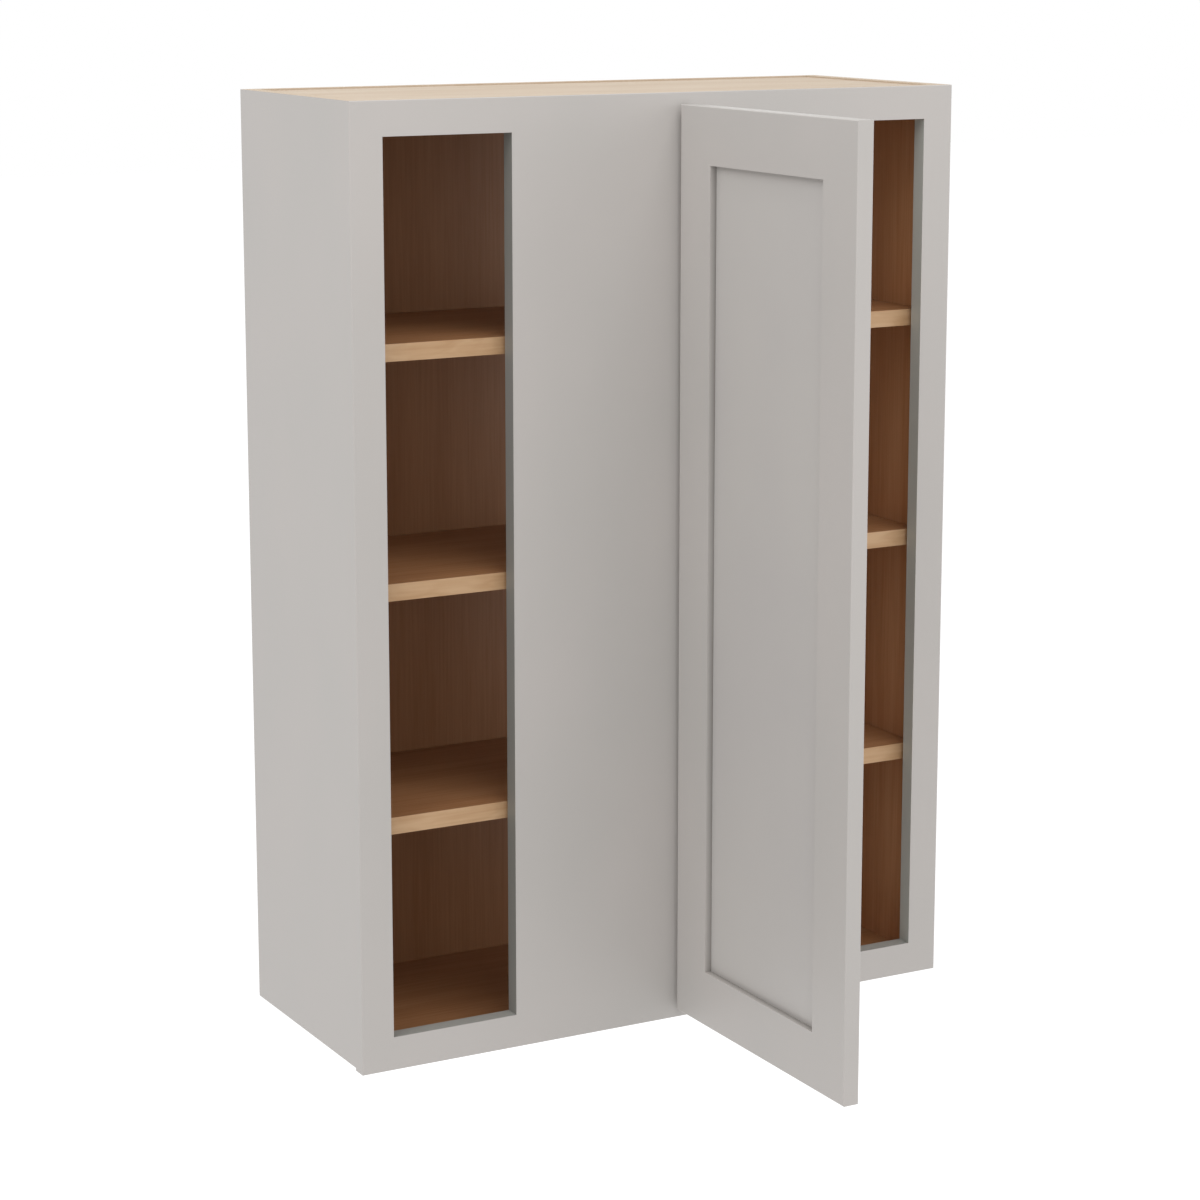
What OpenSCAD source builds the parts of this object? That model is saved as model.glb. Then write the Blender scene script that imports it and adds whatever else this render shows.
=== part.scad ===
// Blind corner wall cabinet: a face frame with an open blind bay, a wide blind stile and one
// five-piece door on concealed hinges, in front of a plywood box with three loose shelves.
// The cabinet's own frame has X from the face frame's left edge, Y from the face frame's front
// towards the wall and Z from the face frame's bottom edge. place() moves it to the wall origin.

/* [Face frame] */
// Width of the face frame
frame_w = 762; // [720:1:840]
// Height of the face frame
frame_h = 1066.8; // [960:0.1:1140]
// Thickness of the face frame
frame_t = 19.05; // [18:0.05:22]
// Width of the outer stiles and of the rails
frame_edge_w = 38.1; // [34:0.1:44]
// Width of the open bay at the left
blind_bay_w = 152.4; // [120:0.1:170]
// Width of the blind stile
blind_stile_w = 228.6; // [190:0.1:240]
// Eased edge of the painted frame and door
ease = 0.8; // [0.4:0.1:1.2]

/* [Box] */
// Depth from the face frame's front to the wall
depth = 294.6; // [270:0.1:340]
// Thickness of the side panels
side_t = 19.05; // [15:0.05:22]
// Thickness of the top and bottom panels
panel_t = 15.875; // [15:0.005:19]
// Thickness of the back panel
back_t = 12.7; // [10:0.1:16]
// Height of the box's lower edge above the frame's lower edge
bottom_rise = 3.175; // [1:0.005:6]
// How far the top panel lies below the side panels' upper edges
top_drop = 1.6; // [0.5:0.1:6]

/* [Wall screws] */
// Width between the two columns of wall screw holes
wall_screw_w = 406.4; // [300:0.1:500]
// Distance from the frame's upper edge down to the upper row of wall screw holes
wall_screw_drop = 36.8; // [30:0.1:60]
// Distance between the two rows; the lower row lies close under the lower shelf
wall_screw_h = 800; // [600:1:820]
// Diameter of a wall screw hole
wall_screw_d = 5; // [4:0.1:8]

/* [Shelves] */
// Thickness of a shelf
shelf_t = 19.05; // [16:0.05:22]
// Distance from the back of the face frame to a shelf's front
shelf_setback = 6.35; // [4:0.05:20]
// Clearance at the shelf's ends and rear
shelf_gap = 1.5; // [1:0.1:3]
// Thickness of the strip on a shelf's front
edging_t = 1; // [0.5:0.1:3]
// Distance from a shelf's front to the middle of its front clips
clip_front = 80; // [40:1:100]
// Distance from a shelf's rear to the middle of its rear clips
clip_rear = 37; // [25:1:60]
// Diameter of a clip's pin
clip_pin_d = 5; // [4:0.1:6]
// Length of a clip's pin in the side panel
clip_pin_l = 9; // [6:0.5:12]
// Width of a clip
clip_w = 12; // [9:0.5:16]
// Height of a clip
clip_h = 11; // [10:0.5:18]
// How far a clip reaches under the shelf
clip_reach = 13; // [8:0.5:16]
// Sheet thickness of a clip
clip_t = 1.2; // [1:0.1:1.4]

/* [Door] */
// How far the door stands open, in degrees
door_open = 90; // [0:1:98]
// Thickness of the door's stiles and rails
door_t = 19.05; // [18:0.05:22]
// Width of the door's stiles and rails
door_edge_w = 63.5; // [57:0.1:76]
// How far the door laps over the stiles
overlay_side = 23.8; // [22:0.1:25]
// How far the door laps over the rails
overlay_end = 25.4; // [20:0.1:32]
// Space between the closed door's back and the face frame
door_gap = 2; // [1.8:0.1:2.6]
// Thickness of the recessed panel
door_panel_t = 6.35; // [5:0.05:7]
// Depth of the recess in the door's face
door_recess = 7.9; // [6:0.1:9]
// Depth of the groove round the panel
groove_d = 9.5; // [8:0.1:11]
// Space left round the panel, at the bottom of the groove
panel_play = 1.5; // [0.8:0.1:2]
// Diameter of a door bumper
bumper_d = 9.5; // [8:0.5:12]
// Thickness of a door bumper
bumper_t = 1.6; // [1:0.1:1.7]
// Distance from the door's free edge, top and bottom to the middle of a bumper
bumper_inset = 12; // [9:0.5:14]

/* [Hinges] */
// Distance from the door's ends to the outer hinges
hinge_inset = 100; // [70:1:160]
// Diameter of the hinge cup
cup_d = 35; // [34:0.1:36]
// Depth of the hinge cup in the door
cup_h = 12.5; // [12:0.1:13.5]
// Wall thickness of the hinge cup
cup_wall = 0.9; // [0.7:0.1:1.2]
// Distance from the door's edge to the rim of the cup
cup_edge = 5; // [4:0.1:6]
// Thickness of the cup's flange on the door's back
flange_t = 1; // [0.8:0.1:1.2]
// How far the flange stands out round the cup
flange_rim = 2; // [1.5:0.1:3]
// Radius of the flange's rounded ends, round the cup screws
flange_ear_r = 6.5; // [5:0.1:8]
// Height of a cup screw above the middle of the cup
cup_screw_z = 22.5; // [20:0.1:26]
// Distance from the middle of the cup to the cup screws, away from the door's edge
cup_screw_x = 9.5; // [6:0.1:12]
// Distance from the door's two outer faces to the point that it swings round
swing_inset = 6.5; // [6:0.1:7]
// Distance from the swing point to the cup pin
cup_pin_swing = 11; // [10.5:0.1:11.5]
// Distance from the blind stile's edge to the arm pin
arm_pin_x = 6.7; // [6.2:0.1:7.4]
// Distance from the face frame's front to the arm pin
arm_pin_y = 5.55; // [5:0.05:6.2]
// Diameter of the hinge pins
pin_d = 2.5; // [2:0.1:3]
// Width of the link's plate
link_w = 3.2; // [2.6:0.1:3.6]
// Diameter of the link's two eyes
link_eye_d = 4.8; // [4.2:0.1:5]
// Length of the link along the pins
link_l = 10; // [8:0.1:12]
// Distance along the frame from the cup pin to the link's bend next to it
link_crank_x = 0.6; // [0.4:0.1:0.8]
// How far that bend lies in front of the cup pin when the door is closed
link_crank_y = 4.8; // [4.6:0.1:5]
// Distance along the frame from the arm pin to the link's bend next to it
link_elbow_x = 12; // [11.8:0.1:12.2]
// How far that bend lies in front of the arm pin when the door is closed
link_elbow_y = 3.5; // [3.4:0.1:3.6]
// Sheet thickness of the arm's cheeks and of the cup's lugs
cheek_t = 1.4; // [1:0.1:1.8]
// Space between the link and the cheeks or lugs at its ends
cheek_gap = 0.4; // [0.2:0.1:0.6]
// How far a hinge pin stands out of the cheeks or lugs
pin_end_l = 0.5; // [0.3:0.1:0.8]
// Diameter of the arm's eye
arm_eye_d = 5.6; // [5:0.1:6]
// Thickness of the mounting plate
plate_t = 1.5; // [1.2:0.1:2]
// Width of the mounting plate, front to rear
plate_w = 17; // [15:0.1:17.5]
// Distance from the face frame's front to the mounting plate
plate_front = 1; // [0.5:0.1:1.5]
// Height of the mounting plate
plate_h = 58; // [50:1:70]
// Distance between the two screws of a mounting plate
plate_screw_z = 42; // [34:1:46]
// Height of the hinge arm above its plate
arm_h = 5.5; // [4.5:0.1:6]

/* [Fasteners] */
// Diameter of the face frame's dowels
frame_dowel_d = 6; // [5:0.1:8]
// Diameter of the box's dowels
box_dowel_d = 8; // [6:0.1:8]
// Length of a dowel
dowel_l = 36; // [30:1:40]
// Depth of a dowel in a side panel
dowel_side_l = 11; // [8:0.5:13]
// Distance between the two dowels of a frame corner
dowel_pitch = 18; // [16:0.5:20]
// Diameter of a back screw
back_screw_d = 4; // [3:0.1:5]
// Diameter of a back screw's head
back_screw_head_d = 8; // [7:0.1:9]
// Length of a back screw
back_screw_l = 38; // [30:1:50]
// Number of back screws along each panel
back_screw_n = 4; // [2:1:6]
// Diameter of a hinge screw
hinge_screw_d = 3.4; // [3:0.1:4]
// Diameter of a hinge screw's head
hinge_screw_head_d = 7; // [6:0.1:7.4]
// Height of a hinge screw's head
hinge_screw_head_h = 1.4; // [1.2:0.1:1.6]
// Length of a cup screw
cup_screw_l = 12; // [9:0.5:15]
// Length of an arm screw
arm_screw_l = 15; // [10:0.5:20]
// Clearance of a screw or dowel in its hole
hole_fit = 0.1; // [0.05:0.05:0.3]
// Clearance of a pin in its eye
pin_fit = 0.05; // [0.03:0.01:0.1]
// Clearance of a tongue or panel in its groove
groove_fit = 0.1; // [0.05:0.05:0.3]

/* [Hidden] */
$fn = 48;
// A cut runs past the face that it opens by this much
past = 1;

// Face frame: where its members begin and end
blind_x = frame_edge_w + blind_bay_w;
jamb_x = blind_x + blind_stile_w;
right_stile_x = frame_w - frame_edge_w;
frame_rail_x = [frame_edge_w, right_stile_x];
rail_top_z = frame_h - frame_edge_w;

// Box
inside = [side_t, frame_w - side_t];
back_y = depth - back_t;
floor_z = bottom_rise + panel_t;
roof_z = frame_h - top_drop;
ceiling_z = roof_z - panel_t;
wall_screw_z = frame_h - wall_screw_drop;

// Shelves: three at even spacing, numbered from the bottom
shelf_n = 3;
bay_h = (ceiling_z - floor_z - shelf_n * shelf_t) / (shelf_n + 1);
shelf_y = frame_t + shelf_setback;
function shelf_z(i) = floor_z + i * (bay_h + shelf_t) + bay_h;
clip_ys = [shelf_y + clip_front, back_y - shelf_gap - clip_rear];
clip_pin_drop = clip_h - clip_pin_d;

// Door, closed
door_x = jamb_x - overlay_side;
door_w = right_stile_x + overlay_side - door_x;
door_z = frame_edge_w - overlay_end;
door_h = rail_top_z + overlay_end - door_z;
door_y = -door_gap - door_t;
rail_x = [door_x + door_edge_w, door_x + door_w - door_edge_w];
panel_y = door_y + door_recess;
panel_low_z = door_z + door_edge_w - groove_d;
panel_high_z = door_z + door_h - door_edge_w + groove_d;
hinge_zs = [door_z + hinge_inset, door_z + door_h / 2, door_z + door_h - hinge_inset];
cup_x = door_x + cup_edge + cup_d / 2;
cup_floor_y = -door_gap - cup_h;
cup_screw_at = cup_x + cup_screw_x;
cup_screw_seat = flange_t - door_gap;

// Hinge motion in plan. The closed and the square-open door lie at equal turns about the swing
// point, and the link reaches the cup pin from the arm pin in both.
swing = [door_x + swing_inset, door_y + swing_inset];
arm_pin = [jamb_x + arm_pin_x, -arm_pin_y];
pin_turn = atan2(arm_pin.y - swing.y, arm_pin.x - swing.x) + 45;
cup_pin = swing + cup_pin_swing * [cos(pin_turn), sin(pin_turn)];
cup_pin_square = swing + cup_pin_swing * [cos(pin_turn - 90), sin(pin_turn - 90)];
link_arm = cup_pin - arm_pin;
link_arm_square = cup_pin_square - arm_pin;
link_turn_square = acos(link_arm * link_arm_square / (norm(link_arm) * norm(link_arm_square)));
link_turn = door_open * link_turn_square / 90;
cup_pin_now = arm_pin + [
    link_arm.x * cos(link_turn) - link_arm.y * sin(link_turn),
    link_arm.x * sin(link_turn) + link_arm.y * cos(link_turn)
];
link_crank = [link_crank_x, -link_crank_y];
link_elbow = [-link_elbow_x, -link_elbow_y];
cheek_z = link_l / 2 + cheek_gap;
plate_x = jamb_x + plate_t;
plate_screw_y = plate_front + plate_w / 2;
plate_screw_zs = [for (z = hinge_zs) for (s = [-1, 1]) z + s * plate_screw_z / 2];

// Origin: the middle of the back panel's rear face
module place() translate([-frame_w / 2, -depth, -(bottom_rise + frame_h) / 2]) children();

// Moves the closed door's pieces to where the door stands open
module hang()
    translate([cup_pin_now.x, cup_pin_now.y, 0])
        rotate(-door_open)
            translate([-cup_pin.x, -cup_pin.y, 0])
                children();

// A block between two values along each axis
module block(x, y, z)
    translate([x[0], y[0], z[0]])
        cube([x[1] - x[0], y[1] - y[0], z[1] - z[0]]);

// Round bars that start at p and run along +X, +Y or +Z
module bar_x(p, d, l) translate(p) rotate([0, 90, 0]) cylinder(d = d, h = l);
module bar_y(p, d, l) translate(p) rotate([-90, 0, 0]) cylinder(d = d, h = l);
module bar_z(p, d, l) translate(p) cylinder(d = d, h = l);

// Outline of a board's section, t thick and w wide, with eased front corners, and eased rear
// corners where back is true
module eased_section(w, t, back)
    polygon([
        [0, ease], [ease, 0], [w - ease, 0], [w, ease],
        [w, back ? t - ease : t], [back ? w - ease : w, t],
        [back ? ease : 0, t], [0, back ? t - ease : t]
    ]);

// The space of a whole frame or door, with its outer edges eased
module eased_board(x, y, z, w, t, h, back)
    translate([x, y, z])
        intersection() {
            linear_extrude(h) eased_section(w, t, back);
            translate([w, 0, 0])
                rotate([0, -90, 0])
                    linear_extrude(w)
                        eased_section(h, t, back);
        }

module frame_board() eased_board(0, 0, 0, frame_w, frame_t, frame_h, false);
module door_board() eased_board(door_x, door_y, door_z, door_w, door_t, door_h, true);

// A wood screw with its head's seat at the origin and its shank along -Z
module pan_screw(d, l, head_d, head_h)
    difference() {
        union() {
            cylinder(d = head_d, h = head_h);
            translate([0, 0, -l]) cylinder(d = d, h = l);
        }
        cross_recess(head_d / 2, head_h, head_h / 2);
    }

// A countersunk wood screw, with the top of its head at the origin and its shank along -Z
module flat_screw(d, l, head_d)
    difference() {
        union() {
            translate([0, 0, (d - head_d) / 2]) cylinder(d1 = d, d2 = head_d, h = (head_d - d) / 2);
            translate([0, 0, -l]) cylinder(d = d, h = l);
        }
        cross_recess(head_d / 2, 0, d / 4);
    }

// The driver's cross in a screw's head whose top is at z: l long, a quarter of that wide, h deep
module cross_recess(l, z, h)
    for (turn = [0, 90])
        rotate(turn)
            translate([-l / 2, -l / 8, z - h])
                cube([l, l / 4, h + past]);

// Dowels of the face frame: two across each outer corner and three in each end of the blind stile
corner_zs = [for (z = [frame_edge_w / 2, frame_h - frame_edge_w / 2])
    for (s = [-1, 1]) z + s * dowel_pitch / 2];
blind_dowel_xs = [for (s = [-1, 0, 1]) blind_x + blind_stile_w * (1 / 2 + s / 3)];

module frame_dowel_set(gap) {
    for (z = corner_zs)
        for (x = [frame_edge_w, right_stile_x])
            bar_x([x - dowel_l / 2 - gap, frame_t / 2, z], frame_dowel_d + 2 * gap, dowel_l + 2 * gap);
    for (z = [frame_edge_w, rail_top_z])
        for (x = blind_dowel_xs)
            bar_z([x, frame_t / 2, z - dowel_l / 2 - gap], frame_dowel_d + 2 * gap, dowel_l + 2 * gap);
}

// Dowels from the top and bottom panels' ends into the side panels
box_dowel_ys = [for (s = [1, 3, 5]) frame_t + (back_y - frame_t) * s / 6];
box_dowel_zs = [bottom_rise + panel_t / 2, roof_z - panel_t / 2];

module box_dowel_set(gap)
    for (z = box_dowel_zs)
        for (y = box_dowel_ys) {
            bar_x([inside[0] - dowel_side_l - gap, y, z], box_dowel_d + 2 * gap, dowel_l + 2 * gap);
            bar_x(
                [inside[1] + dowel_side_l - dowel_l - gap, y, z],
                box_dowel_d + 2 * gap,
                dowel_l + 2 * gap
            );
        }

// Screws from the back panel's rear into the top and bottom panels
back_screw_xs = [for (i = [0:back_screw_n - 1])
    inside[0] + (inside[1] - inside[0]) * (i + 1 / 2) / back_screw_n];

module back_screw_set(gap)
    for (z = box_dowel_zs)
        for (x = back_screw_xs)
            translate([x, depth, z])
                rotate([-90, 0, 0])
                    if (gap > 0) {
                        translate([0, 0, -back_screw_l - gap])
                            cylinder(d = back_screw_d + 2 * gap, h = back_screw_l + gap + past);
                        translate([0, 0, (back_screw_d - back_screw_head_d) / 2 - gap])
                            cylinder(
                                d1 = back_screw_d + 2 * gap,
                                d2 = back_screw_head_d + 2 * gap,
                                h = (back_screw_head_d - back_screw_d) / 2 + gap
                            );
                    } else
                        flat_screw(back_screw_d, back_screw_l, back_screw_head_d);

// Holes for the clips' pins in one side panel, or the pins themselves
module clip_pin_set(x, gap)
    for (i = [0:shelf_n - 1])
        for (y = clip_ys)
            bar_x([x - gap, y, shelf_z(i) - clip_pin_drop], clip_pin_d + 2 * gap, clip_pin_l + 2 * gap);

// Box

module side_panel(x)
    difference() {
        block([x, x + side_t], [frame_t, depth], [bottom_rise, frame_h]);
        box_dowel_set(hole_fit);
        clip_pin_set(inside[0] - clip_pin_l, hole_fit);
        clip_pin_set(inside[1], hole_fit);
    }

module side_panel_left() color([0.76, 0.74, 0.72]) side_panel(0);
module side_panel_right() color([0.76, 0.74, 0.72]) side_panel(inside[1]);

module flat_panel(z)
    difference() {
        block(inside, [frame_t, back_y], [z, z + panel_t]);
        box_dowel_set(hole_fit);
        back_screw_set(hole_fit);
    }

module top_panel() color([0.86, 0.80, 0.73]) flat_panel(ceiling_z);
module bottom_panel() color([0.80, 0.66, 0.50]) flat_panel(bottom_rise);

module back_panel()
    color([0.78, 0.64, 0.49])
        difference() {
            block(inside, [back_y, depth], [bottom_rise, frame_h]);
            back_screw_set(hole_fit);
            for (s = [-1, 1])
                for (z = [wall_screw_z - wall_screw_h, wall_screw_z])
                    bar_y(
                        [frame_w / 2 + s * wall_screw_w / 2, back_y - past, z],
                        wall_screw_d,
                        back_t + 2 * past
                    );
        }

module box_dowels() color([0.85, 0.74, 0.57]) box_dowel_set(0);
module back_screws() color([0.72, 0.70, 0.62]) back_screw_set(0);

// Face frame

module frame_member(x, z)
    difference() {
        intersection() {
            frame_board();
            block(x, [-past, frame_t + past], z);
        }
        frame_dowel_set(hole_fit);
    }

module frame_stile_left()
    color([0.75, 0.73, 0.71])
        frame_member([0, frame_edge_w], [0, frame_h]);

module frame_stile_right()
    color([0.75, 0.73, 0.71])
        frame_member([right_stile_x, frame_w], [0, frame_h]);

module frame_stile_blind()
    color([0.74, 0.72, 0.70])
        difference() {
            frame_member([blind_x, jamb_x], [frame_edge_w, rail_top_z]);
            for (z = plate_screw_zs)
                bar_x(
                    [jamb_x - arm_screw_l + plate_t - hole_fit, plate_screw_y, z],
                    hinge_screw_d + 2 * hole_fit,
                    arm_screw_l + past
                );
        }

module frame_rail_top()
    color([0.75, 0.73, 0.71])
        frame_member(frame_rail_x, [rail_top_z, frame_h]);

module frame_rail_bottom()
    color([0.75, 0.73, 0.71])
        frame_member(frame_rail_x, [0, frame_edge_w]);

module frame_dowels() color([0.85, 0.74, 0.57]) frame_dowel_set(0);

// Shelves

module shelf(i)
    block(
        [inside[0] + shelf_gap, inside[1] - shelf_gap],
        [shelf_y + edging_t, back_y - shelf_gap],
        [shelf_z(i), shelf_z(i) + shelf_t]
    );

module shelf_edging(i)
    block(
        [inside[0] + shelf_gap, inside[1] - shelf_gap],
        [shelf_y, shelf_y + edging_t],
        [shelf_z(i), shelf_z(i) + shelf_t]
    );

module shelf_lower() color([0.78, 0.64, 0.49]) shelf(0);
module shelf_middle() color([0.78, 0.64, 0.49]) shelf(1);
module shelf_upper() color([0.78, 0.64, 0.49]) shelf(2);
module shelf_lower_edging() color([0.84, 0.73, 0.58]) shelf_edging(0);
module shelf_middle_edging() color([0.84, 0.73, 0.58]) shelf_edging(1);
module shelf_upper_edging() color([0.84, 0.73, 0.58]) shelf_edging(2);

// A clip at the left side panel: its seat carries the shelf, and its pin stands in the panel
module shelf_clip(y, z) {
    block([inside[0], inside[0] + clip_t], [y - clip_w / 2, y + clip_w / 2], [z - clip_h, z]);
    block([inside[0], inside[0] + clip_reach], [y - clip_w / 2, y + clip_w / 2], [z - clip_t, z]);
    bar_x([inside[0] - clip_pin_l, y, z - clip_pin_drop], clip_pin_d, clip_pin_l + clip_t / 2);
}

module shelf_clips()
    color([0.78, 0.78, 0.77])
        for (i = [0:shelf_n - 1])
            for (y = clip_ys) {
                shelf_clip(y, shelf_z(i));
                translate([frame_w, 0, 0])
                    mirror([1, 0, 0])
                        shelf_clip(y, shelf_z(i));
            }

// Door, made closed and then hung open

// The groove for the panel and the rails' tongues, along a stile's or a rail's inner edge
module groove(x, z) block(x, [panel_y, panel_y + door_panel_t + 2 * groove_fit], z);

tongue_y = [panel_y + groove_fit, panel_y + groove_fit + door_panel_t];

module door_stile(x, groove_x)
    difference() {
        intersection() {
            door_board();
            block([x, x + door_edge_w], [door_y - past, past], [door_z, door_z + door_h]);
        }
        groove([groove_x, groove_x + groove_d + past], [door_z - past, door_z + door_h + past]);
    }

module door_stile_hinge()
    color([0.74, 0.72, 0.70])
        hang()
            difference() {
                door_stile(door_x, rail_x[0] - groove_d);
                for (z = hinge_zs) {
                    bar_y([cup_x, cup_floor_y - hole_fit, z], cup_d + 2 * hole_fit, cup_h + 2 * past);
                    for (s = [-1, 1])
                        bar_y(
                            [cup_screw_at, cup_screw_seat - cup_screw_l - hole_fit, z + s * cup_screw_z],
                            hinge_screw_d + 2 * hole_fit,
                            cup_screw_l + past
                        );
                }
            }

module door_stile_free() color([0.74, 0.72, 0.70]) hang() door_stile(rail_x[1], rail_x[1] - past);

// A door rail with its tongues; s is 1 where its groove is at the top and -1 at the bottom
module door_rail(z, s) {
    groove_z = s > 0 ? z + door_edge_w - groove_d : z - past;
    difference() {
        intersection() {
            door_board();
            union() {
                block(rail_x, [door_y - past, past], [z, z + door_edge_w]);
                block(
                    [rail_x[0] - groove_d + groove_fit, rail_x[1] + groove_d - groove_fit],
                    tongue_y,
                    [z, z + door_edge_w]
                );
            }
        }
        groove([door_x, door_x + door_w], [groove_z, groove_z + groove_d + past]);
    }
}

module door_rail_top() color([0.74, 0.72, 0.70]) hang() door_rail(door_z + door_h - door_edge_w, -1);
module door_rail_bottom() color([0.74, 0.72, 0.70]) hang() door_rail(door_z, 1);

module door_panel()
    color([0.72, 0.70, 0.68])
        hang()
            block(
                [rail_x[0] - groove_d + panel_play, rail_x[1] + groove_d - panel_play],
                tongue_y,
                [panel_low_z + panel_play, panel_high_z - panel_play]
            );

module door_bumpers()
    color([0.88, 0.88, 0.86])
        hang()
            for (z = [door_z + bumper_inset, door_z + door_h - bumper_inset])
                bar_y([door_x + door_w - bumper_inset, -door_gap, z], bumper_d, bumper_t);

// Hinges

// Plan of a plate that follows points, w wide and rounded at every point
module strap(points, w) {
    for (p = points)
        translate(p)
            circle(d = w);
    for (i = [0:len(points) - 2]) {
        step = points[i + 1] - points[i];
        translate(points[i])
            rotate(atan2(step.y, step.x))
                translate([0, -w / 2])
                    square([norm(step), w]);
    }
}

// A flat plan shape, raised h to both sides of height z
module level(z, h)
    translate([0, 0, z - h])
        linear_extrude(2 * h)
            children();

// Two cheeks of a plan shape, t thick, from h above and below height z
module pair(z, h, t)
    for (low = [z - h - t, z + h])
        translate([0, 0, low])
            linear_extrude(t)
                children();

// The flange's outline on the door's back, seen from behind, with the cup's middle at the origin
module flange_outline() {
    circle(d = cup_d + 2 * flange_rim);
    for (s = [-1, 1])
        translate([cup_screw_x, s * cup_screw_z])
            circle(r = flange_ear_r);
    translate([cup_screw_x - flange_ear_r, -cup_screw_z])
        square([2 * flange_ear_r, 2 * cup_screw_z]);
}

module hinge_cup(z) {
    difference() {
        union() {
            bar_y([cup_x, cup_floor_y, z], cup_d, cup_h);
            translate([cup_x, -door_gap, z])
                rotate([90, 0, 0])
                    mirror([0, 0, 1])
                        linear_extrude(flange_t)
                            flange_outline();
        }
        bar_y([cup_x, cup_floor_y + cup_wall, z], cup_d - 2 * cup_wall, cup_h + past);
        for (s = [-1, 1])
            bar_y(
                [cup_screw_at, -door_gap - past, z + s * cup_screw_z],
                hinge_screw_d + 2 * hole_fit,
                flange_t + 2 * past
            );
    }
    pair(z, cheek_z, cheek_t)
        difference() {
            union() {
                translate(cup_pin)
                    circle(d = link_eye_d);
                translate([cup_pin.x - link_eye_d / 2, cup_floor_y + cup_wall / 2])
                    square([link_eye_d, cup_pin.y - cup_floor_y - cup_wall / 2]);
            }
            translate(cup_pin)
                circle(d = pin_d + 2 * pin_fit);
        }
}

module hinge_cups()
    color([0.80, 0.79, 0.77])
        hang()
            for (z = hinge_zs)
                hinge_cup(z);

module pin(p, z)
    translate([p.x, p.y, z - cheek_z - cheek_t - pin_end_l])
        cylinder(d = pin_d, h = 2 * (cheek_z + cheek_t + pin_end_l));

module hinge_cup_pins()
    color([0.62, 0.61, 0.60])
        hang()
            for (z = hinge_zs)
                pin(cup_pin, z);

module hinge_cup_screws()
    color([0.70, 0.69, 0.66])
        hang()
            for (z = hinge_zs)
                for (s = [-1, 1])
                    translate([cup_screw_at, cup_screw_seat, z + s * cup_screw_z])
                        rotate([-90, 0, 0])
                            pan_screw(hinge_screw_d, cup_screw_l, hinge_screw_head_d, hinge_screw_head_h);

module link_plan()
    difference() {
        union() {
            strap([arm_pin, arm_pin + link_elbow, cup_pin + link_crank, cup_pin], link_w);
            for (p = [arm_pin, cup_pin])
                translate(p)
                    circle(d = link_eye_d);
        }
        for (p = [arm_pin, cup_pin])
            translate(p)
                circle(d = pin_d + 2 * pin_fit);
    }

module hinge_links()
    color([0.76, 0.75, 0.73])
        translate([arm_pin.x, arm_pin.y, 0])
            rotate(link_turn)
                translate([-arm_pin.x, -arm_pin.y, 0])
                    for (z = hinge_zs)
                        level(z, link_l / 2)
                            link_plan();

// Plan of an arm's cheek, from its plate to the arm pin's eye
module cheek_plan()
    difference() {
        union() {
            translate(arm_pin)
                circle(d = arm_eye_d);
            polygon([
                [arm_pin.x - arm_eye_d / 2, arm_pin.y],
                [arm_pin.x + arm_eye_d / 2, arm_pin.y],
                [plate_x + arm_h, plate_front + arm_h],
                [plate_x + arm_h, plate_front + plate_w - plate_t],
                [plate_x, plate_front + plate_w],
                [plate_x, plate_front + plate_t]
            ]);
        }
        translate(arm_pin)
            circle(d = pin_d + 2 * pin_fit);
    }

module hinge_arm(z) {
    difference() {
        block(
            [jamb_x, plate_x],
            [plate_front, plate_front + plate_w],
            [z - plate_h / 2, z + plate_h / 2]
        );
        for (s = [-1, 1])
            bar_x(
                [jamb_x - past, plate_screw_y, z + s * plate_screw_z / 2],
                hinge_screw_d + 2 * hole_fit,
                plate_t + 2 * past
            );
    }
    pair(z, cheek_z, cheek_t)
        cheek_plan();
    block(
        [plate_x + arm_h - cheek_t, plate_x + arm_h],
        [plate_front + arm_h, plate_front + plate_w - plate_t],
        [z - cheek_z - cheek_t / 2, z + cheek_z + cheek_t / 2]
    );
}

module hinge_arms()
    color([0.80, 0.79, 0.77])
        for (z = hinge_zs)
            hinge_arm(z);

module hinge_arm_pins()
    color([0.62, 0.61, 0.60])
        for (z = hinge_zs)
            pin(arm_pin, z);

module hinge_arm_screws()
    color([0.70, 0.69, 0.66])
        for (z = plate_screw_zs)
            translate([plate_x, plate_screw_y, z])
                rotate([0, 90, 0])
                    pan_screw(hinge_screw_d, arm_screw_l, hinge_screw_head_d, hinge_screw_head_h);

place() side_panel_left();
place() side_panel_right();
place() top_panel();
place() bottom_panel();
place() back_panel();
place() frame_stile_left();
place() frame_stile_blind();
place() frame_stile_right();
place() frame_rail_top();
place() frame_rail_bottom();
place() frame_dowels();
place() box_dowels();
place() back_screws();
place() shelf_clips();
place() shelf_lower();
place() shelf_lower_edging();
place() shelf_middle();
place() shelf_middle_edging();
place() shelf_upper();
place() shelf_upper_edging();
place() door_stile_hinge();
place() door_stile_free();
place() door_rail_top();
place() door_rail_bottom();
place() door_panel();
place() door_bumpers();
place() hinge_cups();
place() hinge_cup_pins();
place() hinge_cup_screws();
place() hinge_links();
place() hinge_arms();
place() hinge_arm_pins();
place() hinge_arm_screws();
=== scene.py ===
"""A blind corner wall cabinet: satin painted frame and door, maple veneered box and shelves."""

import math

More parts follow.
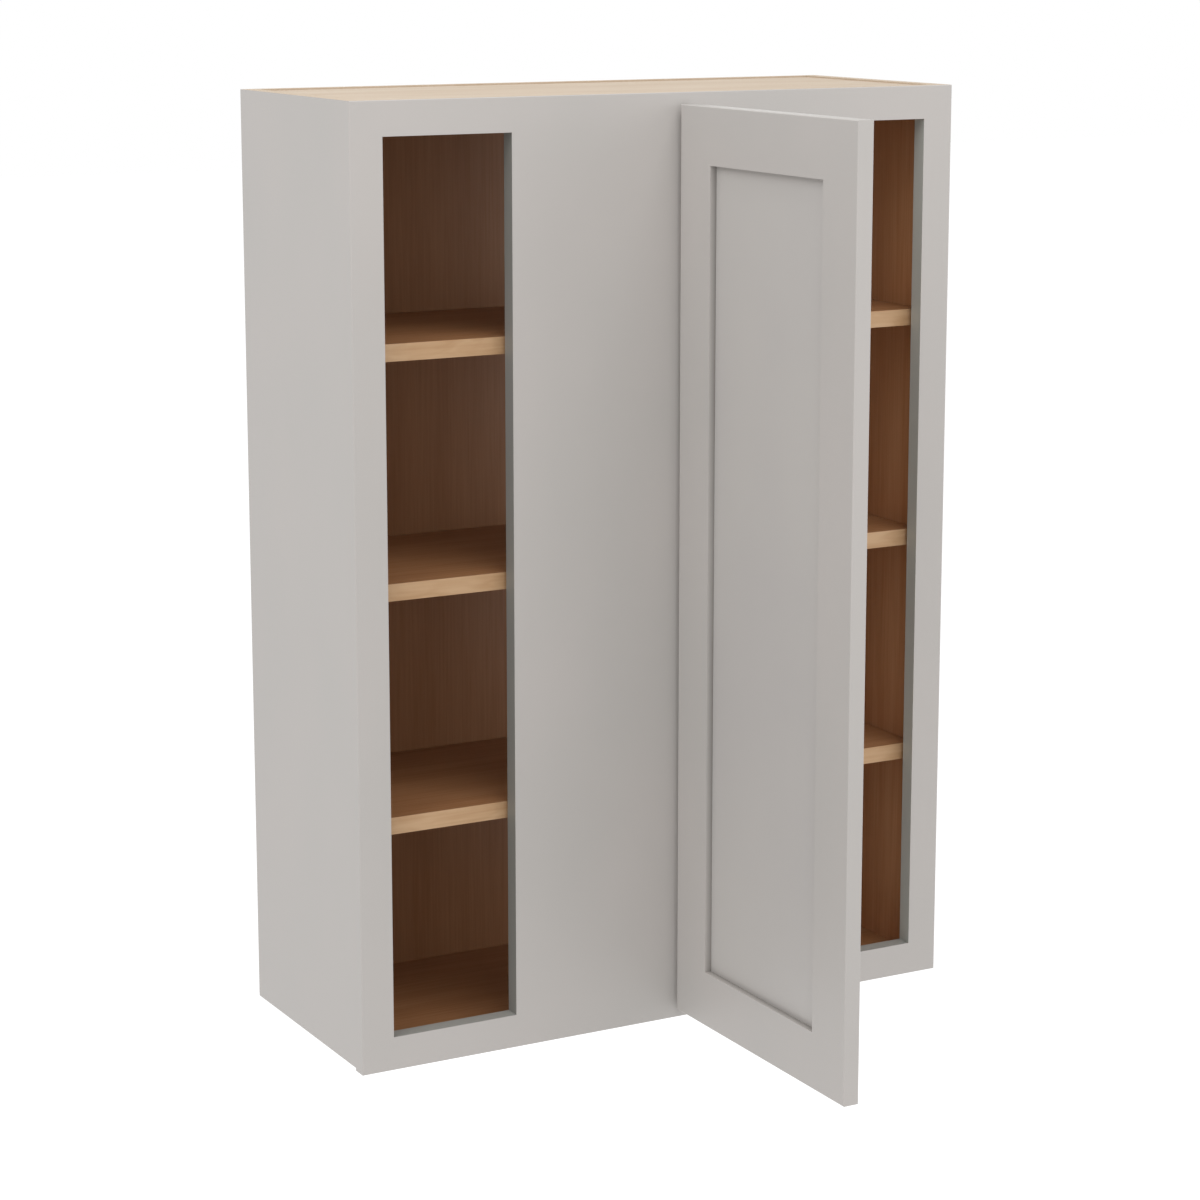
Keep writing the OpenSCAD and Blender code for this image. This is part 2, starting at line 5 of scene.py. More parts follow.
import bmesh
import bpy
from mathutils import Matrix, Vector


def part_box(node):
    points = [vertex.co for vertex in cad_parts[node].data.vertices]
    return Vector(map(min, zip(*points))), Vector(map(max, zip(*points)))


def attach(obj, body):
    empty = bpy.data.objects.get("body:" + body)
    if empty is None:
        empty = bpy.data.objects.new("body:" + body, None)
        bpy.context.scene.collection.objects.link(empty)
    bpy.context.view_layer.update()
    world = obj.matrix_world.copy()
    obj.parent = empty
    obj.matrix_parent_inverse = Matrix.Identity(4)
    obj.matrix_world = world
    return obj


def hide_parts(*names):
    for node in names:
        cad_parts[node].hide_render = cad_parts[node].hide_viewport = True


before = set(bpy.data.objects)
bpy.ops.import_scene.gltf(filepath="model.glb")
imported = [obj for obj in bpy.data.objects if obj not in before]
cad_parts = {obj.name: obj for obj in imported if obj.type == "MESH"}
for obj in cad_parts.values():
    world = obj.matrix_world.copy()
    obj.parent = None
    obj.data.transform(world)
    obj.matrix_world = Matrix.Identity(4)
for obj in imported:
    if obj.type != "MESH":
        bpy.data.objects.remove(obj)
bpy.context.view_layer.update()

MM = 0.001
X, Y, Z = 0, 1, 2


def linear(colour):
    """Turns an sRGB hex colour into the linear RGBA that shaders take."""
    steps = [int(colour[i:i + 2], 16) / 255 for i in (1, 3, 5)]
    return [s / 12.92 if s <= 0.04045 else ((s + 0.055) / 1.055) ** 2.4 for s in steps] + [1.0]


def add(tree, kind, inputs=None, **settings):
    """Adds a node and returns its outputs.

    An input is a socket to link, a list of sockets for a shared input, an sRGB hex or a value.
    """
    made = tree.nodes.new(kind)
    for name, value in settings.items():
        setattr(made, name, value)
    for name, value in (inputs or {}).items():
        several = value if isinstance(value, list) else [value]
        if isinstance(several[0], bpy.types.NodeSocket):
            for socket in several:
                tree.links.new(socket, made.inputs[name])
        elif isinstance(value, str) and value.startswith("#"):
            made.inputs[name].default_value = linear(value)
        else:
            made.inputs[name].default_value = value
    return made.outputs


# Masks and positions on a surface

# A face looks along a direction when the cosine of the angle between them is above this
LOOKS_ALONG = 0.8

# Keeps the top panel's own face out of what stands above it
HAIR = 0.1 * MM


def position(tree, axis):
    """Where a point lies along an axis of the object."""
    coords = add(tree, "ShaderNodeTexCoord")["Object"]
    return add(tree, "ShaderNodeSeparateXYZ", {0: coords})[axis]


def facing(tree, direction):
    """1 where the object's surface faces a direction, and 0 elsewhere."""
    normal = add(tree, "ShaderNodeTexCoord")["Normal"]
    cosine = add(tree, "ShaderNodeVectorMath", {0: normal, 1: direction},
                 operation="DOT_PRODUCT")["Value"]
    return add(tree, "ShaderNodeMath", {0: cosine, 1: LOOKS_ALONG}, operation="GREATER_THAN")[0]


def cut_edge(tree, thin):
    """1 on a board's cut edges: every face that doesn't look along its thin axis."""
    normal = add(tree, "ShaderNodeTexCoord")["Normal"]
    part = add(tree, "ShaderNodeSeparateXYZ", {0: normal})[thin]
    flat = add(tree, "ShaderNodeMath", {0: part}, operation="ABSOLUTE")[0]
    return add(tree, "ShaderNodeMath", {0: flat, 1: LOOKS_ALONG}, operation="LESS_THAN")[0]


def over_box(tree):
    """1 above the box's top panel, where the sides and the back stand up as a low rim."""
    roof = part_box("top_panel")[1].z + HAIR
    return add(tree, "ShaderNodeMath", {0: position(tree, Z), 1: roof},
               operation="GREATER_THAN")[0]


# Looks: each is a surface's colour, roughness and height, as three sockets

# The range that noise mostly fills, as the From inputs of a Map Range node
NOISE_SPAN = {1: 0.3, 2: 0.7}

# Coats of paint, light and dark. The first is the paint itself. The others are painted shade,
# except the panel's lighter coat, which is painted light.
PAINT = ("#C1BCB8", "#BEBAB6")  # warm light grey, on every face that has no coat below
PANEL_LIGHT_PAINT = ("#C2BEBA", "#BFBBB8")  # a shade lighter and cooler: painted light on the door's panel, against its recess's shade
BAY_EDGE_SHADE_PAINT = ("#93938F", "#8D8D87")  # mid grey: painted shade on the stiles' edges in the blind bay
JAMB_SHADE_PAINT = ("#BEC1BB", "#B9BCB6")  # greener grey: painted shade on the right stile's edge, behind the door
LEDGE_SHADE_PAINT = ("#A4A49F", "#9F9F9A")  # darker grey: painted shade on the rails' edges in the openings
DOOR_TOP_SHADE_PAINT = ("#B2AEA9", "#AEAAA5")  # darker grey: painted shade that tones down the light on the door's top edge
RECESS_SHADE_PAINT = ("#8C8884", "#86827E")  # the painted shade that the door's recess deepens to

# Maple's tones, light and dark, and for bare wood its least and greatest roughness
BARE_MAPLE = ("#C9B9A5", "#BDA890", 0.62, 0.74)  # pale and dull
LACQUERED_SHADED_MAPLE = ("#A87A55", "#976842")  # warm brown: lacquered maple, darkened as painted shade, on the inside of the box
LIT_RIGHT_MAPLE = ("#CB9870", "#B98358")  # a lighter copy of the veneer: painted light on the right side panel's inside
EDGING_MAPLE = ("#C7A37D", "#BA936B")  # pale gold

PLY_TONES = ("#D0C0AB", "#B39C82")
BEECH_TONES = ("#D6BB92", "#A9825A")
POLYURETHANE_TONES = ("#E4E2DC", "#D6D4CE")

# Steels: light and dark tone, then least and greatest roughness
ZINC = ("#BFC0BD", "#ABAA9F", 0.3, 0.42)  # cool and pale
NICKEL = ("#C9C5BE", "#BFBAB2", 0.36, 0.44)  # warmer and duller
GROUND_STEEL = ("#A9A8A6", "#989694", 0.2, 0.3)  # darker and shinier


def texture(tree, size_mm, detail=3.0, roughness=0.55, distortion=0.0):
    """Noise from 0 to 1 whose features measure size_mm along X, Y and Z of the object."""
    coords = add(tree, "ShaderNodeTexCoord")["Object"]
    scale = [1 / (size * MM) for size in size_mm]
    placed = add(tree, "ShaderNodeMapping", {"Vector": coords, "Scale": scale})["Vector"]
    return add(tree, "ShaderNodeTexNoise", {
        "Vector": placed, "Scale": 1.0, "Detail": detail, "Roughness": roughness,
        "Distortion": distortion,
    })["Fac"]


def lengthwise(along, wide, long):
    """Sizes along X, Y and Z of a mark that runs with the grain along one axis."""
    return [long if axis == along else wide for axis in (X, Y, Z)]


def cover(tree, mask, below, above):
    """Lays one look over another where the mask is 1."""
    colour = add(tree, "ShaderNodeMix", {0: mask, 6: below[0], 7: above[0]}, data_type="RGBA")[2]
    rough = add(tree, "ShaderNodeMix", {0: mask, 2: below[1], 3: above[1]}, data_type="FLOAT")[0]
    height = add(tree, "ShaderNodeMix", {0: mask, 2: below[2], 3: above[2]}, data_type="FLOAT")[0]
    return colour, rough, height


def paint(tree, light, dark):
    """Sprayed satin lacquer paint: nearly even, slowly clouded, with an orange peel 3 mm across."""
    cloud = texture(tree, (180, 180, 260), detail=2.0)
    peel = texture(tree, (3.2, 3.2, 3.2), detail=2.0)
    share = add(tree, "ShaderNodeMapRange", {0: cloud, 1: 0.35, 2: 0.65})[0]
    colour = add(tree, "ShaderNodeMix", {0: share, 6: dark, 7: light}, data_type="RGBA")[2]
    rough = add(tree, "ShaderNodeMapRange", {0: cloud, **NOISE_SPAN, 3: 0.42, 4: 0.45})[0]
    return colour, rough, peel


def maple(tree, along, light, dark, smooth=0.42, coarse=0.52):
    """Maple cut along the grain: straight fine streaks, soft broad bands and a few darker flecks.

    The streaks are 2.5 mm wide, about twice as coarse as real maple, so that they show. Lacquer
    gives the wood a soft gloss, and bare wood is duller.
    """
    streak = texture(tree, lengthwise(along, 2.5, 130), detail=5.0, roughness=0.62)
    band = texture(tree, lengthwise(along, 26, 420), roughness=0.5, distortion=0.4)
    fleck = texture(tree, lengthwise(along, 1.4, 14), detail=2.0)
    part = add(tree, "ShaderNodeMix", {0: 0.45, 2: streak, 3: band}, data_type="FLOAT")[0]
    share = add(tree, "ShaderNodeMapRange", {0: part, 1: 0.36, 2: 0.64})[0]
    figure = add(tree, "ShaderNodeMix", {0: share, 6: dark, 7: light}, data_type="RGBA")[2]
    spots = add(tree, "ShaderNodeMapRange", {0: fleck, 1: 0.66, 2: 0.78, 3: 0.0, 4: 0.35})[0]
    colour = add(tree, "ShaderNodeMix", {0: spots, 6: figure, 7: dark}, data_type="RGBA")[2]
    rough = add(tree, "ShaderNodeMapRange", {0: streak, **NOISE_SPAN, 3: coarse, 4: smooth})[0]
    return colour, rough, streak


def plies(tree, thin):
    """A sawn plywood edge: layers 2.1 mm thick, light and dark in turn, a little uneven."""
    light, dark = PLY_TONES
    turns = math.pi / (2.1 * MM)
    wobble = texture(tree, (60, 60, 60), detail=2.0)
    angle = add(tree, "ShaderNodeMath", {0: position(tree, thin), 1: turns, 2: wobble},
                operation="MULTIPLY_ADD")[0]
    wave = add(tree, "ShaderNodeMath", {0: angle}, operation="SINE")[0]
    layer = add(tree, "ShaderNodeMapRange", {0: wave, 1: -0.35, 2: 0.35, 3: 0.0, 4: 0.8})[0]
    fibre = texture(tree, (1.6, 1.6, 1.6))
    share = add(tree, "ShaderNodeMath", {0: fibre, 1: 0.25, 2: layer},
                operation="MULTIPLY_ADD")[0]
    colour = add(tree, "ShaderNodeMix", {0: share, 6: dark, 7: light}, data_type="RGBA")[2]
    rough = add(tree, "ShaderNodeMapRange", {0: fibre, **NOISE_SPAN, 3: 0.62, 4: 0.74})[0]
    return colour, rough, fibre


def finished(name, look, depth_mm, **fixed):
    """Makes a material from a look, with its height as a bump of depth_mm."""
    made = bpy.data.materials.new(name)
    made.use_nodes = True
    tree = made.node_tree
    tree.nodes.clear()
    colour, rough, height = look(tree)
    bump = add(tree, "ShaderNodeBump",
               {"Height": height, "Strength": 1.0, "Distance": depth_mm * MM})[0]
    shader = {"Base Color": colour, "Roughness": rough, "Normal": bump, **fixed}
    surface = add(tree, "ShaderNodeBsdfPrincipled", shader)[0]
    add(tree, "ShaderNodeOutputMaterial", {"Surface": surface})
    return made


def painted_board(name, *others):
    """A painted maple board. Each of others is a direction and the look of the faces there."""
    def look(tree):
        surface = paint(tree, *PAINT)
        for direction, other, *values in others:
            surface = cover(tree, facing(tree, direction), surface, other(tree, *values))
        return surface

    return finished(name, look, depth_mm=0.02)


def plywood(name, thin, along, *others, veneer=LACQUERED_SHADED_MAPLE):
    """Maple veneered plywood with raw layers on its cut edges; others as for painted_board."""
    def look(tree):
        inside, bare = (maple(tree, along, *tones) for tones in (veneer, BARE_MAPLE))
        surface = cover(tree, over_box(tree), inside, bare)
        for direction, other, *values in others:
            surface = cover(tree, facing(tree, direction), surface, other(tree, *values))
        return cover(tree, cut_edge(tree, thin), surface, plies(tree, thin))

    return finished(name, look, depth_mm=0.03)


def shaded_paint(tree, coat, axis, start, end, most):
    """A coat darkened along an axis as painted shade, up to a share of the recess's shade tone at
    end.
    """
    shade = add(tree, "ShaderNodeMapRange",
                {0: position(tree, axis), 1: start, 2: end, 3: 0.0, 4: most})[0]
    return cover(tree, shade, paint(tree, *coat), paint(tree, *RECESS_SHADE_PAINT))


def recess_wall(tree):
    """A wall of the door's recess, darker from the door's face to the panel: painted shade."""
    face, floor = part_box("door_rail_top")[0].x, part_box("door_panel")[0].x
    return shaded_paint(tree, PAINT, X, face, floor, most=1.0)


def recessed_panel():
    """The door's panel: a shade lighter and cooler as painted light, and darker as painted shade in
    the last 7 mm above the bottom rail.
    """
    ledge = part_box("door_rail_bottom")[1].z

    def look(tree):
        return shaded_paint(tree, PANEL_LIGHT_PAINT, Z, ledge + 7 * MM, ledge, most=0.35)

    return finished("painted_door_panel", look, depth_mm=0.02)


def edging_strip():
    """Solid maple edging, lacquered: soft blotches 60 mm long and faint streaks."""
    light, dark = EDGING_MAPLE

    def look(tree):
        blotch = texture(tree, (60, 15, 15), detail=2.0, roughness=0.5, distortion=0.9)
        streak = texture(tree, lengthwise(X, 2.5, 130), detail=4.0)
        part = add(tree, "ShaderNodeMix", {0: 0.28, 2: blotch, 3: streak}, data_type="FLOAT")[0]
        share = add(tree, "ShaderNodeMapRange", {0: part, 1: 0.38, 2: 0.62})[0]
        colour = add(tree, "ShaderNodeMix", {0: share, 6: dark, 7: light}, data_type="RGBA")[2]
        rough = add(tree, "ShaderNodeMapRange", {0: streak, **NOISE_SPAN, 3: 0.5, 4: 0.42})[0]
        return colour, rough, streak

    return finished("lacquered_maple_edging", look, depth_mm=0.02)


def turned_beech():
    """Beech dowels: pinkish straw with short dark flecks."""
    light, dark = BEECH_TONES

    def look(tree):
        fleck = texture(tree, (1.0, 1.0, 4.0), detail=2.0)
        share = add(tree, "ShaderNodeMapRange", {0: fleck, 1: 0.55, 2: 0.7, 3: 0.0, 4: 0.7})[0]
        colour = add(tree, "ShaderNodeMix", {0: share, 6: light, 7: dark}, data_type="RGBA")[2]
        rough = add(tree, "ShaderNodeMapRange", {0: fleck, **NOISE_SPAN, 3: 0.6, 4: 0.7})[0]
        return colour, rough, fleck

    return finished("turned_beech", look, depth_mm=0.03)


def plated_steel(name, light, dark, smooth, coarse):
    """Pressed and plated steel: bright, with faint cloudy stains and fine drawing marks."""
    def look(tree):
        stain = texture(tree, (9, 9, 9))
        mark = texture(tree, (0.6, 0.6, 12))
        share = add(tree, "ShaderNodeMapRange", {0: stain, 1: 0.35, 2: 0.65})[0]
        colour = add(tree, "ShaderNodeMix", {0: share, 6: dark, 7: light}, data_type="RGBA")[2]
        rough = add(tree, "ShaderNodeMapRange", {0: mark, **NOISE_SPAN, 3: smooth, 4: coarse})[0]
        return colour, rough, mark

    return finished(name, look, depth_mm=0.0015, Metallic=1.0)


def clear_polyurethane():
    """Cast polyurethane bumper: milky and softly glossy."""
    light, dark = POLYURETHANE_TONES

    def look(tree):
        haze = texture(tree, (3, 3, 3), detail=2.0)
        colour = add(tree, "ShaderNodeMix", {0: haze, 6: light, 7: dark}, data_type="RGBA")[2]
        rough = add(tree, "ShaderNodeMapRange", {0: haze, **NOISE_SPAN, 3: 0.22, 4: 0.32})[0]
        return colour, rough, haze

    clear = {"Transmission Weight": 0.5, "IOR": 1.49}
    return finished("clear_polyurethane", look, depth_mm=0.01, **clear)


def dress(material, *names):
    """Gives CAD nodes a material in their own slots."""
    for name in names:
        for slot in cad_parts[name].material_slots:
            slot.material = material


LEFT, RIGHT = (-1, 0, 0), (1, 0, 0)
TO_ROOM, TO_WALL = (0, -1, 0), (0, 1, 0)
DOWN, UP = (0, 0, -1), (0, 0, 1)

# The frame's ends and rear are bare wood
rear = (TO_WALL, maple, Z, *BARE_MAPLE)
foot_end = (DOWN, maple, X, *BARE_MAPLE)
top_end = (UP, maple, X, *BARE_MAPLE)
# The edges in the openings take darker or greener coats: painted shade
dress(painted_board("painted_stile_left", (RIGHT, paint, *BAY_EDGE_SHADE_PAINT), rear, foot_end, top_end),
      "frame_stile_left")
dress(painted_board("painted_stile_blind", (LEFT, paint, *BAY_EDGE_SHADE_PAINT), rear),
      "frame_stile_blind")
dress(painted_board("painted_stile_right", (LEFT, paint, *JAMB_SHADE_PAINT), rear, foot_end, top_end),
      "frame_stile_right")
dress(painted_board("painted_rail_top", (DOWN, paint, *LEDGE_SHADE_PAINT), rear, top_end),
      "frame_rail_top")
dress(painted_board("painted_rail_bottom", (UP, paint, *LEDGE_SHADE_PAINT), rear, foot_end),
      "frame_rail_bottom")

# The door's top edge and the walls of its recess take darker coats: painted shade
# The door stands open, so the wall of its recess at the hinges looks to the room
door_top = (UP, paint, *DOOR_TOP_SHADE_PAINT)
dress(painted_board("painted_door_hinge_stile", (TO_ROOM, recess_wall), door_top),
      "door_stile_hinge")
dress(painted_board("painted_door_free_stile", door_top), "door_stile_free")
dress(painted_board("painted_door_top_rail", (DOWN, recess_wall), door_top), "door_rail_top")
dress(painted_board("painted_door_bottom_rail", (UP, recess_wall)), "door_rail_bottom")
dress(recessed_panel(), "door_panel")

# Plywood: its thin axis, then the axis of its grain
dress(plywood("painted_plywood_left", X, Z, (LEFT, paint, *PAINT)), "side_panel_left")
dress(plywood("painted_plywood_right", X, Z, (RIGHT, paint, *PAINT), veneer=LIT_RIGHT_MAPLE),
      "side_panel_right")
dress(plywood("maple_plywood_top", Z, X, top_end), "top_panel")
dress(plywood("maple_plywood_bottom", Z, X, foot_end), "bottom_panel")
dress(plywood("maple_plywood_back", Y, Z, rear), "back_panel")
dress(plywood("maple_plywood_shelf", Z, X), "shelf_lower", "shelf_middle", "shelf_upper")
dress(edging_strip(), "shelf_lower_edging", "shelf_middle_edging", "shelf_upper_edging")
dress(turned_beech(), "frame_dowels", "box_dowels")

zinc = plated_steel("zinc_plated_steel", *ZINC)
polyurethane = clear_polyurethane()
dress(plated_steel("nickel_plated_steel", *NICKEL),
      "hinge_cups", "hinge_arms", "hinge_links", "shelf_clips")
dress(plated_steel("ground_steel", *GROUND_STEEL), "hinge_cup_pins", "hinge_arm_pins")


# Turned pieces, made by Geometry Nodes at the places of their CAD solids

# Points closer than these are one, in a CAD node's loose triangles and in a turned skin
SOLID_WELD = 0.001 * MM
SKIN_WELD = 0.002 * MM

SHARP_ANGLE = math.radians(35)

# Turns that point a piece's top to the right or to the wall
FACE_RIGHT = (0, math.radians(90), 0)
FACE_WALL = (math.radians(-90), 0, 0)

# Screws in mm: the head's height over its seat, the height of its rim and of its neck, the
# shank's diameter and the thread's pitch
HINGE_SCREW = {"head_h": 1.4, "shoulder": 0.5, "neck": 0.0, "shank_d": 3.4, "pitch": 1.3}
BACK_SCREW = {"head_h": 0.0, "shoulder": 0.0, "neck": -2.0, "shank_d": 4.0, "pitch": 2.0}

# Shares of the head's radius: the cross's reach at the top and at its floor, and its depth
CROSS_REACH, CROSS_FOOT, CROSS_DEPTH = 0.72, 0.3, 0.42

# The share of the cross's depth below the head's top, and a wing's width as a share of its reach
CROSS_SUNK, WING_WIDTH = 0.85, 0.24

# The core's share of the shank's thickness, and the thread's of the length above the tip
CORE_SHARE, THREAD_SHARE = 0.72, 0.85

# The straight rim's share of a bumper's height
RIM_SHARE = 0.4


def solids(name):
    """The boxes of a CAD node's separate solids, each as its lowest and highest corner."""
    mesh = bmesh.new()
    mesh.from_mesh(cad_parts[name].data)
    bmesh.ops.remove_doubles(mesh, verts=mesh.verts, dist=SOLID_WELD)
    waiting = set(mesh.verts)
    boxes = []
    while waiting:
        reached = [waiting.pop()]
        for vert in reached:
            near = {edge.other_vert(vert) for edge in vert.link_edges} & waiting
            waiting -= near
            reached.extend(near)
        spread = list(zip(*(vert.co for vert in reached)))
        boxes.append((Vector(map(min, spread)), Vector(map(max, spread))))
    mesh.free()
    return sorted(boxes, key=lambda box: tuple(box[0]))


def new_tree(name, sizes):
    """A geometry tree with named inputs for its seats and sizes; returns it and those inputs."""
    tree = bpy.data.node_groups.new(name, "GeometryNodeTree")
    tree.interface.new_socket("Seats", in_out="INPUT", socket_type="NodeSocketGeometry")
    tree.interface.new_socket("Turn", in_out="INPUT", socket_type="NodeSocketVector")
    for label in sizes:
        tree.interface.new_socket(label, in_out="INPUT", socket_type="NodeSocketFloat")
    tree.interface.new_socket("Pieces", in_out="OUTPUT", socket_type="NodeSocketGeometry")
    return tree, add(tree, "NodeGroupInput")


def line(tree, start, end):
    """A straight stretch of a turned profile between two (radius, height) pairs."""
    ends = [add(tree, "ShaderNodeCombineXYZ", {0: radius, 1: height})[0]
            for radius, height in (start, end)]
    return add(tree, "GeometryNodeCurvePrimitiveLine", {"Start": ends[0], "End": ends[1]})[0]


def turned(tree, profile, radius, sides):
    """Turns a list of profile curves about Z, where radius is the greatest of the profile."""
    path = add(tree, "GeometryNodeCurvePrimitiveCircle",
               {"Resolution": sides, "Radius": radius})["Curve"]
    joined = add(tree, "GeometryNodeJoinGeometry", {0: profile})[0]
    back = add(tree, "ShaderNodeMath", {0: radius, 1: -1.0}, operation="MULTIPLY")[0]
    offset = add(tree, "ShaderNodeCombineXYZ", {0: back})[0]
    placed = add(tree, "GeometryNodeTransform", {"Geometry": joined, "Translation": offset})[0]
    skin = add(tree, "GeometryNodeCurveToMesh", {"Curve": path, "Profile Curve": placed})[0]
    upright = add(tree, "GeometryNodeTransform",
                  {"Geometry": skin, "Rotation": (math.pi, 0, 0)})[0]
    return add(tree, "GeometryNodeMergeByDistance",
               {"Geometry": upright, "Distance": SKIN_WELD})[0]


def stand(tree, size, piece, material, seed):
    """Ends a tree: the piece on every seat, along Turn and spun by chance, as one plain mesh."""
    placed = add(tree, "GeometryNodeInstanceOnPoints",
                 {"Points": size["Seats"], "Instance": piece, "Rotation": size["Turn"]})[0]
    spin = add(tree, "FunctionNodeRandomValue", {2: 0.0, 3: math.tau, "Seed": seed},
               data_type="FLOAT")[1]
    angle = add(tree, "ShaderNodeCombineXYZ", {2: spin})[0]
    spun = add(tree, "GeometryNodeRotateInstances", {"Instances": placed, "Rotation": angle})[0]
    real = add(tree, "GeometryNodeRealizeInstances", {"Geometry": spun})[0]
    done = add(tree, "GeometryNodeSetMaterial", {"Geometry": real, "Material": material})[0]
    add(tree, "NodeGroupOutput", {"Pieces": done})


def screw_tree():
    """A threaded screw with a cross recess, its head's seat at the point and its shank down -Z."""
    tree, size = new_tree("cross_recess_screw", [
        "Head Radius", "Head Top", "Head Shoulder", "Head Neck", "Cross Reach", "Cross Foot",
        "Cross Depth", "Shank Radius", "Core Radius", "Length", "Tip", "Thread Length", "Pitch",
    ])
    head_r, head_top, shoulder = size["Head Radius"], size["Head Top"], size["Head Shoulder"]
    shank_r, core, neck = size["Shank Radius"], size["Core Radius"], size["Head Neck"]
    end = add(tree, "ShaderNodeMath", {0: 0.0, 1: size["Length"]}, operation="SUBTRACT")[0]
    foot = add(tree, "ShaderNodeMath", {0: end, 1: size["Tip"]}, operation="ADD")[0]
    rim = add(tree, "ShaderNodeMath", {0: shoulder, 1: 0.0}, operation="MINIMUM")[0]

    crown_start = add(tree, "ShaderNodeCombineXYZ", {1: head_top})[0]
    crown_middle = add(tree, "ShaderNodeCombineXYZ", {0: size["Cross Reach"], 1: head_top})[0]
    crown_end = add(tree, "ShaderNodeCombineXYZ", {0: head_r, 1: shoulder})[0]
    crown = add(tree, "GeometryNodeCurveQuadraticBezier", {
        "Resolution": 6, "Start": crown_start, "Middle": crown_middle, "End": crown_end,
    })[0]
    corners = [(head_r, shoulder), (head_r, rim), (shank_r, neck), (core, neck), (core, foot),
               (0.0, end)]
    stretches = [line(tree, start, stop) for start, stop in zip(corners, corners[1:])]
    body = turned(tree, [crown] + stretches, head_r, sides=24)

    # The cross: two crossing wings that narrow towards their floor
    wing = add(tree, "GeometryNodeMeshCone", {
        "Vertices": 4, "Radius Top": size["Cross Reach"], "Radius Bottom": size["Cross Foot"],
        "Depth": size["Cross Depth"],
    })["Mesh"]
    square = add(tree, "GeometryNodeTransform",
                 {"Geometry": wing, "Rotation": (0, 0, math.radians(45))})[0]
    low = add(tree, "ShaderNodeMath", {0: size["Cross Depth"], 1: -CROSS_SUNK, 2: head_top},
              operation="MULTIPLY_ADD")[0]
    place = add(tree, "ShaderNodeCombineXYZ", {2: low})[0]
    wings = [add(tree, "GeometryNodeTransform",
                 {"Geometry": square, "Translation": place, "Scale": scale})[0]
             for scale in ((1, WING_WIDTH, 1), (WING_WIDTH, 1, 1))]
    recessed = add(tree, "GeometryNodeMeshBoolean", {"Mesh 1": body, "Mesh 2": wings},
                   operation="DIFFERENCE", solver="EXACT")["Mesh"]

    # The thread: a three-sided ridge wound up the core
    turns = add(tree, "ShaderNodeMath", {0: size["Thread Length"], 1: size["Pitch"]},
                operation="DIVIDE")[0]
    helix = add(tree, "GeometryNodeCurveSpiral", {
        "Resolution": 14, "Rotations": turns, "Start Radius": core, "End Radius": core,
        "Height": size["Thread Length"],
    })[0]
    ridge_r = add(tree, "ShaderNodeMath", {0: shank_r, 1: core}, operation="SUBTRACT")[0]
    ridge = add(tree, "GeometryNodeCurvePrimitiveCircle",
                {"Resolution": 3, "Radius": ridge_r})["Curve"]
    thread = add(tree, "GeometryNodeCurveToMesh",
                 {"Curve": helix, "Profile Curve": ridge, "Fill Caps": True})[0]
    lowered = add(tree, "ShaderNodeCombineXYZ", {2: foot})[0]
    wound = add(tree, "GeometryNodeTransform", {"Geometry": thread, "Translation": lowered})[0]
    screw = add(tree, "GeometryNodeJoinGeometry", {0: [recessed, wound]})[0]
    stand(tree, size, screw, zinc, seed=7)
    return tree


def bumper_tree():
    """A domed round bumper with a short straight rim, its base at the point."""
    tree, size = new_tree("domed_bumper", ["Radius", "Height", "Rim"])
    radius, height, rim = size["Radius"], size["Height"], size["Rim"]
    top = add(tree, "ShaderNodeCombineXYZ", {1: height})[0]
    corner = add(tree, "ShaderNodeCombineXYZ", {0: radius, 1: height})[0]
    shoulder = add(tree, "ShaderNodeCombineXYZ", {0: radius, 1: rim})[0]
    dome = add(tree, "GeometryNodeCurveQuadraticBezier",
               {"Resolution": 8, "Start": top, "Middle": corner, "End": shoulder})[0]
    rest = [line(tree, (radius, rim), (radius, 0.0)), line(tree, (radius, 0.0), (0.0, 0.0))]
    domed = turned(tree, [dome] + rest, radius, sides=32)
    stand(tree, size, domed, polyurethane, seed=3)
    return tree


def grown(name, seats, tree, sizes):
    """Runs a tree on a mesh of seats and returns its result as a plain mesh object."""
    base = bpy.data.meshes.new(name + "_seats")
    base.from_pydata(seats, [], [])
    piece = bpy.data.objects.new(name, base)
    bpy.context.scene.collection.objects.link(piece)
    modifier = piece.modifiers.new("make", "NODES")
    modifier.node_group = tree
    for item in tree.interface.items_tree:
        if item.in_out == "INPUT" and item.name in sizes:
            modifier[item.identifier] = sizes[item.name]
    ready = piece.evaluated_get(bpy.context.evaluated_depsgraph_get())
    mesh = bpy.data.meshes.new_from_object(ready)
    piece.modifiers.clear()
    piece.data = mesh
    mesh.name = name
    mesh.shade_smooth()
    mesh.set_sharp_from_angle(angle=SHARP_ANGLE)
    return piece


def stand_in(piece, node, body):
    """Lets a piece take a CAD node's place on its body."""
    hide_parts(node)
    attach(piece, body)


